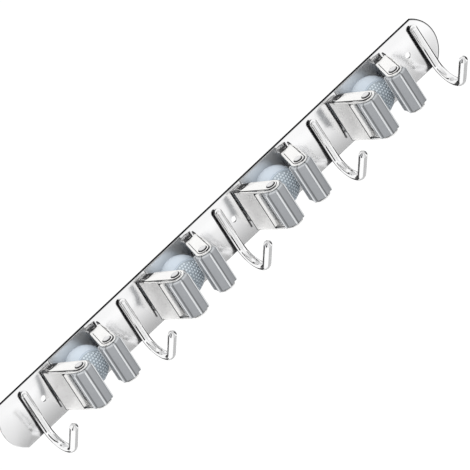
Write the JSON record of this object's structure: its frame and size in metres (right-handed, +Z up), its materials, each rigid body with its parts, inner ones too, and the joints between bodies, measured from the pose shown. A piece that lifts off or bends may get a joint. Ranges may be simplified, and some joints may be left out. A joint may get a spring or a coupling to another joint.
{
  "type": "wall mop holder rack",
  "caption": "Polished steel wall rack with sprung roller clips that grip mop and broom handles and flared rod hooks between them for cloths and brushes",
  "frame": {"origin": "middle of the plate's back face, which lies on the wall", "axes": "+X along the rack to the right seen from the front, +Y into the wall, +Z up"},
  "size_m": [0.486, 0.0572, 0.0619],
  "materials": {
    "polished_steel": "mirror polished stainless steel",
    "polished_rod": "polished stainless steel rod",
    "pressed_steel": "satin polished stainless sheet",
    "pin_steel": "polished steel pin and rivet",
    "spring_steel": "bare spring wire",
    "grey_rubber": "smooth grey rubber",
    "core_plastic": "moulded plastic bush",
    "soft_pad": "pale blue soft rubber with fine dots"
  },
  "bodies": {
    "rack": {"back_plate": "polished_steel", "hinge_pins": "pin_steel", "hook_1": "polished_rod", "hook_2": "polished_rod", "hook_3": "polished_rod", "hook_4": "polished_rod", "hook_5": "polished_rod", "clip_base_1": "pressed_steel", "clip_base_2": "pressed_steel", "clip_base_3": "pressed_steel", "clip_base_4": "pressed_steel", "pad_1": "soft_pad", "pad_2": "soft_pad", "pad_3": "soft_pad", "pad_4": "soft_pad", "spring_left_1": "spring_steel", "spring_left_2": "spring_steel", "spring_left_3": "spring_steel", "spring_left_4": "spring_steel", "spring_right_1": "spring_steel", "spring_right_2": "spring_steel", "spring_right_3": "spring_steel", "spring_right_4": "spring_steel"},
    "arm_left_1_body": {"arm_left_1": "pressed_steel", "roller_pin_left_1": "pin_steel"},
    "roller_left_1_body": {"roller_left_1": "grey_rubber", "roller_core_left_1": "core_plastic"},
    "arm_right_1_body": {"arm_right_1": "pressed_steel", "roller_pin_right_1": "pin_steel"},
    "roller_right_1_body": {"roller_right_1": "grey_rubber", "roller_core_right_1": "core_plastic"},
    "arm_left_2_body": {"arm_left_2": "pressed_steel", "roller_pin_left_2": "pin_steel"},
    "roller_left_2_body": {"roller_left_2": "grey_rubber", "roller_core_left_2": "core_plastic"},
    "arm_right_2_body": {"arm_right_2": "pressed_steel", "roller_pin_right_2": "pin_steel"},
    "roller_right_2_body": {"roller_right_2": "grey_rubber", "roller_core_right_2": "core_plastic"},
    "arm_left_3_body": {"arm_left_3": "pressed_steel", "roller_pin_left_3": "pin_steel"},
    "roller_left_3_body": {"roller_left_3": "grey_rubber", "roller_core_left_3": "core_plastic"},
    "arm_right_3_body": {"arm_right_3": "pressed_steel", "roller_pin_right_3": "pin_steel"},
    "roller_right_3_body": {"roller_right_3": "grey_rubber", "roller_core_right_3": "core_plastic"},
    "arm_left_4_body": {"arm_left_4": "pressed_steel", "roller_pin_left_4": "pin_steel"},
    "roller_left_4_body": {"roller_left_4": "grey_rubber", "roller_core_left_4": "core_plastic"},
    "arm_right_4_body": {"arm_right_4": "pressed_steel", "roller_pin_right_4": "pin_steel"},
    "roller_right_4_body": {"roller_right_4": "grey_rubber", "roller_core_right_4": "core_plastic"}
  },
  "joints": [
    {"name": "arm_left_1_swing", "type": "hinge", "parent": "rack", "child": "arm_left_1_body", "pos_m": [-0.1821, -0.0081, 0], "axis": [0, 0, -1], "range_deg": [0, 20], "stiffness_Nm_per_rad": 0.5, "springref_deg": -20.05, "deforming": ["spring_left_1"]},
    {"name": "roller_left_1_spin", "type": "hinge", "parent": "arm_left_1_body", "child": "roller_left_1_body", "pos_m": [-0.174, -0.039, 0], "axis": [0, 0, 1], "continuous": true},
    {"name": "arm_right_1_swing", "type": "hinge", "parent": "rack", "child": "arm_right_1_body", "pos_m": [-0.1349, -0.0081, 0], "axis": [0, 0, 1], "range_deg": [0, 20], "stiffness_Nm_per_rad": 0.5, "springref_deg": -20.05, "deforming": ["spring_right_1"]},
    {"name": "roller_right_1_spin", "type": "hinge", "parent": "arm_right_1_body", "child": "roller_right_1_body", "pos_m": [-0.143, -0.039, 0], "axis": [0, 0, 1], "continuous": true},
    {"name": "arm_left_2_swing", "type": "hinge", "parent": "rack", "child": "arm_left_2_body", "pos_m": [-0.07443, -0.0081, 0], "axis": [0, 0, -1], "range_deg": [0, 20], "stiffness_Nm_per_rad": 0.5, "springref_deg": -20.05, "deforming": ["spring_left_2"]},
    {"name": "roller_left_2_spin", "type": "hinge", "parent": "arm_left_2_body", "child": "roller_left_2_body", "pos_m": [-0.06633, -0.039, 0], "axis": [0, 0, 1], "continuous": true},
    {"name": "arm_right_2_swing", "type": "hinge", "parent": "rack", "child": "arm_right_2_body", "pos_m": [-0.02723, -0.0081, 0], "axis": [0, 0, 1], "range_deg": [0, 20], "stiffness_Nm_per_rad": 0.5, "springref_deg": -20.05, "deforming": ["spring_right_2"]},
    {"name": "roller_right_2_spin", "type": "hinge", "parent": "arm_right_2_body", "child": "roller_right_2_body", "pos_m": [-0.03533, -0.039, 0], "axis": [0, 0, 1], "continuous": true},
    {"name": "arm_left_3_swing", "type": "hinge", "parent": "rack", "child": "arm_left_3_body", "pos_m": [0.03323, -0.0081, 0], "axis": [0, 0, -1], "range_deg": [0, 20], "stiffness_Nm_per_rad": 0.5, "springref_deg": -20.05, "deforming": ["spring_left_3"]},
    {"name": "roller_left_3_spin", "type": "hinge", "parent": "arm_left_3_body", "child": "roller_left_3_body", "pos_m": [0.04133, -0.039, 0], "axis": [0, 0, 1], "continuous": true},
    {"name": "arm_right_3_swing", "type": "hinge", "parent": "rack", "child": "arm_right_3_body", "pos_m": [0.08043, -0.0081, 0], "axis": [0, 0, 1], "range_deg": [0, 20], "stiffness_Nm_per_rad": 0.5, "springref_deg": -20.05, "deforming": ["spring_right_3"]},
    {"name": "roller_right_3_spin", "type": "hinge", "parent": "arm_right_3_body", "child": "roller_right_3_body", "pos_m": [0.07233, -0.039, 0], "axis": [0, 0, 1], "continuous": true},
    {"name": "arm_left_4_swing", "type": "hinge", "parent": "rack", "child": "arm_left_4_body", "pos_m": [0.1409, -0.0081, 0], "axis": [0, 0, -1], "range_deg": [0, 20], "stiffness_Nm_per_rad": 0.5, "springref_deg": -20.05, "deforming": ["spring_left_4"]},
    {"name": "roller_left_4_spin", "type": "hinge", "parent": "arm_left_4_body", "child": "roller_left_4_body", "pos_m": [0.149, -0.039, 0], "axis": [0, 0, 1], "continuous": true},
    {"name": "arm_right_4_swing", "type": "hinge", "parent": "rack", "child": "arm_right_4_body", "pos_m": [0.1881, -0.0081, 0], "axis": [0, 0, 1], "range_deg": [0, 20], "stiffness_Nm_per_rad": 0.5, "springref_deg": -20.05, "deforming": ["spring_right_4"]},
    {"name": "roller_right_4_spin", "type": "hinge", "parent": "arm_right_4_body", "child": "roller_right_4_body", "pos_m": [0.18, -0.039, 0], "axis": [0, 0, 1], "continuous": true}
  ]
}
